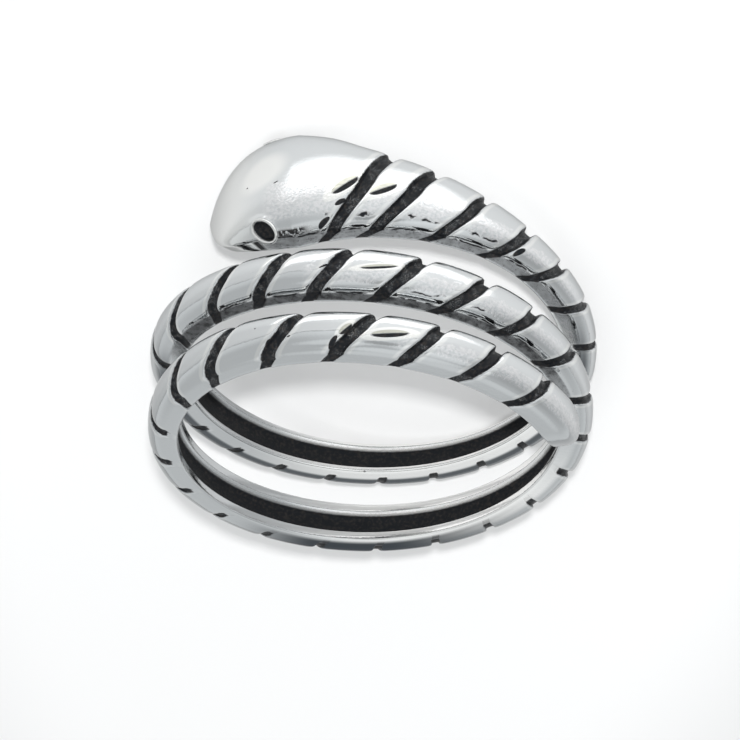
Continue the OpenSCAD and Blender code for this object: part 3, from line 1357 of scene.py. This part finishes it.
    def marks(self, s: Skin, body: Body) -> tuple[Value, Value, Value]:
        """Where the long marks painted on the polish are: reflections and highlights.

        Args:
            s: what the metal reads.
            body: the body that carries them.

        Returns:
            Their black parts, a painted dark reflection; the bright line round them, a painted highlight;
            and their bright parts, a painted cream reflection.
        """
        black: Any = 0.0
        halo: Any = 0.0
        shine: Any = 0.0
        per_turn = math.radians(self.outer_radius)
        for mark in PAINTED_MARKS:
            x = (s.turn - mark.turn) * per_turn
            y = (s.across - mark.across) * float(body.half(mark.turn))
            cos, sin = math.cos(math.radians(mark.lean)), math.sin(math.radians(mark.lean))
            along = (x * cos + y * sin) * (1 / mark.length)
            over = (y * cos - x * sin) * (1 / mark.width)
            reach = (along * along + over * over).root()
            if mark.look is Look.PALE:
                halo = reach.smooth(*self.pale_edge) * self.pale_share + halo
                continue
            spot = reach.smooth(*self.mark_edge)
            if mark.look is Look.GLASSY:
                lower = over.smooth(*self.mark_lower)
                halo = reach.smooth(*self.mark_halo) * (1 - spot) + halo
                shine = spot * (1 - lower) + shine
                spot = spot * lower
            black = spot + black
        outside = s.rise.smooth(*self.outside)
        return black * outside, halo * outside, shine * outside

    @staticmethod
    def sockets(s: Skin, eyes: Eyes) -> Value:
        """Where the eye sockets are.

        Args:
            s: what the metal reads.
            eyes: the eyes.

        Returns:
            1 inside a socket and 0 outside both.
        """
        found: Any = 0.0
        rest = eyes.body.rest()
        for side in Side:
            centre, *ways = eyes.frame(side)
            local = s.g.vmath("SUBTRACT", s.place, tuple(rest @ centre))
            up, along, out = (s.g.dot(local, tuple(rest.to_3x3() @ way)) for way in ways)
            x, y = up / (eyes.height / 2), along / (eyes.length / 2)
            here = (x * x + y * y).root().smooth(*eyes.black) * (out * out).smooth(*eyes.reach)
            found = here.most(found)
        return found


@dataclass(frozen=True)
class Patch:
    """A soft patch of light or shade in the room, by the way it lies from the ring."""

    toward: tuple
    inner: float
    outer: float
    tone: float


@dataclass(frozen=True)
class Lamp:
    """A soft box: where it hangs and what it faces, its width and height in metres, and its watts."""

    name: str
    place: tuple
    target: tuple
    size: tuple
    power: float


@dataclass(frozen=True)
class Glow:
    """A soft round or long patch of light painted into the floor's glow, and how fast it fades along each
    axis.
    """

    centre: tuple
    shape: tuple
    core: float
    edge: float


@dataclass
class Studio:
    """The floor, the lights and the camera."""

    floor_size: float = 2.4
    floor_colour: tuple = (0.5, 0.5, 0.5, 1)
    floor_roughness: float = 0.7
    room_tone: float = 0.68
    room_colour: tuple = (0.965, 0.99, 1.0, 1)
    horizon_tone: float = 0.22
    horizon_height: float = 0.5
    cloth_scale: float = 3.0
    cloth_tone: float = 0.02
    patches: tuple = (
        Patch((-0.09, -0.96, 0.25), 8, 60, 0.24),
        Patch((0.0, -0.67, 0.74), 6, 15, -0.32),
        Patch((-0.46, -0.42, 0.78), 8, 26, 0.32),
        Patch((0.3, -0.4, 0.86), 6, 22, 0.26),
        Patch((-0.22, 0.2, 0.96), 6, 24, 0.3),
        Patch((-0.26, 0.7, 0.66), 6, 24, 0.22),
        Patch((-0.98, -0.1, 0.2), 10, 50, -0.14),
    )
    # The one by the camera casts the ring's shadow
    lamps: tuple = (
        Lamp("soft_box_top", (0.1, 0.05, 0.6), (0.0, 0.0, 0.0), (0.3, 0.3), 0.4),
        Lamp("soft_box_camera", (0.0045, -0.216, 0.208), (0.0, 0.0, 0.0), (0.014, 0.014), 1.02),
        Lamp("soft_box_front", (0.002, -0.037, 0.022), (0.002, -0.034, 0.0), (0.02, 0.02), 0.0032),
    )
    # Painted light: the floor glows brighter in a pool round the ring and in a strip in front of it, which
    # the metal mirrors
    pool: Glow = Glow((0.0, 0.006, 0.0), (1.2, 0.66, 1.0), 0.02, 0.036)
    pool_glow: float = 0.22
    far_glow: float = 0.04
    strip: Glow = Glow((0.006, -0.0182, 0.0), (0.3, 1.0, 1.0), 0.004, 0.0058)
    strip_glow: float = 0.75
    camera_place: tuple = (0.000256, -0.146979, 0.161821)
    image_right: tuple = (-0.96198, -0.19961, -0.1864)
    image_up: tuple = (0.27311, -0.70311, -0.65655)
    focal_pixels: float = 4680.1
    image_pixels: float = 740.0
    sensor: float = 36.0
    clip: tuple = (0.01, 10.0)

    def floor(self) -> None:
        """Makes the plain floor, with a pool and a strip of light painted into its glow."""
        mesh = bpy.data.meshes.new("floor")
        h = self.floor_size / 2
        mesh.from_pydata([(-h, -h, 0), (h, -h, 0), (h, h, 0), (-h, h, 0)], [], [(0, 1, 2, 3)])
        material = bpy.data.materials.new("pale_floor")
        g = graph_of(material)
        spot = g.add("ShaderNodeTexCoord", None, None, "Object")
        parts = []
        for glow in (self.pool, self.strip):
            away = g.vmath("MULTIPLY", g.vmath("SUBTRACT", spot, glow.centre), glow.shape)
            parts.append(g.vmath("LENGTH", away, out="Value").smooth(glow.edge, glow.core))
        pool, strip = parts
        tone = pool * (self.pool_glow - self.far_glow) + self.far_glow + strip * self.strip_glow
        values = {
            "Base Color": self.floor_colour,
            "Roughness": self.floor_roughness,
            "Emission Color": g.vector(tone, tone, tone),
            "Emission Strength": 1.0,
        }
        shader = g.add("ShaderNodeBsdfPrincipled", None, values)
        g.add("ShaderNodeOutputMaterial", None, {"Surface": shader})
        mesh.materials.append(material)
        put("floor", mesh)

    @staticmethod
    def hang(lamp: Lamp) -> None:
        """Hangs a soft box that lights the floor and leaves no glare on the metal.

        Args:
            lamp: the soft box.
        """
        data = bpy.data.lights.new(lamp.name, "AREA")
        data.shape = "RECTANGLE"
        data.size, data.size_y = lamp.size
        data.energy = lamp.power
        hung = put(lamp.name, data)
        hung.location = lamp.place
        way = Vector(lamp.target) - Vector(lamp.place)
        hung.rotation_euler = way.to_track_quat("-Z", "Y").to_euler()
        hung.visible_glossy = False
        hung.visible_camera = False

    def light(self) -> None:
        """Sets the sky and hangs the lamps."""
        world = bpy.data.worlds.new("soft_room")
        g = graph_of(world)
        way = g.add("ShaderNodeTexCoord", None, None, "Generated")
        cloth = g.noise(way, self.cloth_scale, 1.0)
        height = g.split(way)[2]
        tone = (cloth - 0.5) * self.cloth_tone + self.room_tone
        tone = tone + height.smooth(self.horizon_height, 0.0) * self.horizon_tone
        for patch in self.patches:
            near = g.dot(way, tuple(Vector(patch.toward).normalized()))
            low, high = math.cos(math.radians(patch.outer)), math.cos(math.radians(patch.inner))
            tone = tone + near.smooth(low, high) * patch.tone
        sky = g.add("ShaderNodeBackground", None, {"Color": self.room_colour, "Strength": tone})
        g.add("ShaderNodeOutputWorld", None, {"Surface": sky})
        bpy.context.scene.world = world
        bpy.context.scene.view_settings.view_transform = "Standard"
        for lamp in self.lamps:
            self.hang(lamp)

    def camera(self) -> None:
        """Places the camera at the picture's angle to the ring."""
        data = bpy.data.cameras.new("camera")
        data.sensor_fit = "HORIZONTAL"
        data.sensor_width = self.sensor
        data.lens = self.focal_pixels / self.image_pixels * data.sensor_width
        data.clip_start, data.clip_end = self.clip
        right = Vector(self.image_right).normalized()
        up = Vector(self.image_up)
        up = (up - right * up.dot(right)).normalized()
        turn = Matrix((right, up, right.cross(up))).transposed().to_4x4()
        camera = put("camera", data)
        camera.matrix_world = Matrix.Translation(Vector(self.camera_place)) @ turn
        bpy.context.scene.camera = camera


def main() -> None:
    """Builds the ring, dresses it and sets the studio."""
    logging.basicConfig(level=logging.INFO, format="%(name)s %(message)s")
    studio = Studio()
    studio.camera()
    studio.floor()
    studio.light()
    body = Body()
    eyes = Eyes(body)
    metal = RingMetal().make(eyes)
    coil = body.build(metal, eyes)
    pieces = [coil, *eyes.rims(metal, coil)]
    for piece in pieces:
        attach(piece, "root")
        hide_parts("snake_ring")
    log.info("pieces: %d", len(pieces))


if __name__ == "__main__":
    main()
